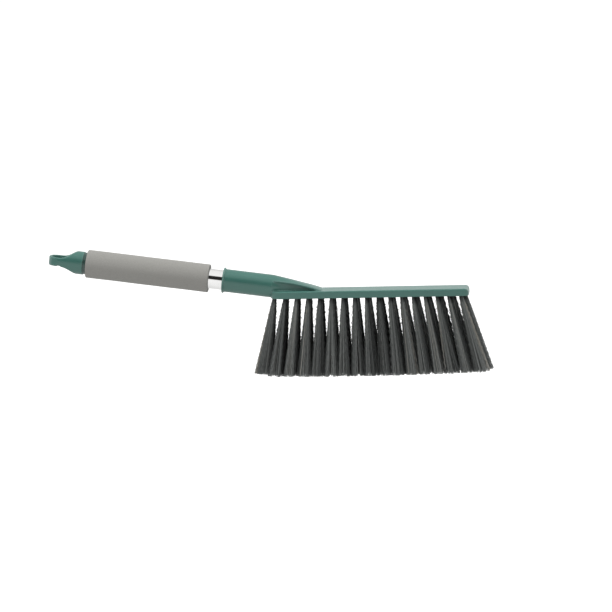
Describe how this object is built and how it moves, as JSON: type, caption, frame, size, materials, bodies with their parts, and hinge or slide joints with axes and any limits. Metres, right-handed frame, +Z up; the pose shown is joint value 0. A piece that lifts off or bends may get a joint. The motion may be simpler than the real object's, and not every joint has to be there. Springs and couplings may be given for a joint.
{
  "type": "hand brush",
  "caption": "Long-bristled hand brush: moulded plastic head on a chromed tube handle, with a foam grip sleeve and a hanging cap that turns in the tube's end.",
  "frame": {"origin": "on the plane of the bristle tips, under the middle of the block", "axes": "+X along the block from the handle to the brush's nose, +Z up out of the bristle tips"},
  "size_m": [0.4878, 0.0458, 0.1426],
  "materials": {
    "head_plastic": "satin",
    "cap_plastic": "satin",
    "tube_chrome": "polished",
    "grip_foam": "matte",
    "bristles": "satin",
    "anchor_wire": "satin"
  },
  "bodies": {
    "brush": {"brush_head": "head_plastic", "handle_tube": "tube_chrome", "foam_grip": "grip_foam", "tuft_anchors": "anchor_wire", "tuft_column_01": "bristles", "tuft_column_02": "bristles", "tuft_column_03": "bristles", "tuft_column_04": "bristles", "tuft_column_05": "bristles", "tuft_column_06": "bristles", "tuft_column_07": "bristles", "tuft_column_08": "bristles", "tuft_column_09": "bristles", "tuft_column_10": "bristles", "tuft_column_11": "bristles", "tuft_column_12": "bristles", "tuft_column_13": "bristles", "tuft_column_14": "bristles", "tuft_column_15": "bristles", "tuft_column_16": "bristles", "tuft_column_17": "bristles"},
    "cap": {"hanging_cap": "cap_plastic"}
  },
  "joints": [
    {"name": "cap_swivel", "type": "hinge", "parent": "brush", "child": "cap", "pos_m": [-0.31262, 0, 0.12742], "axis": [-0.9903, 0, 0.1392], "continuous": true}
  ]
}
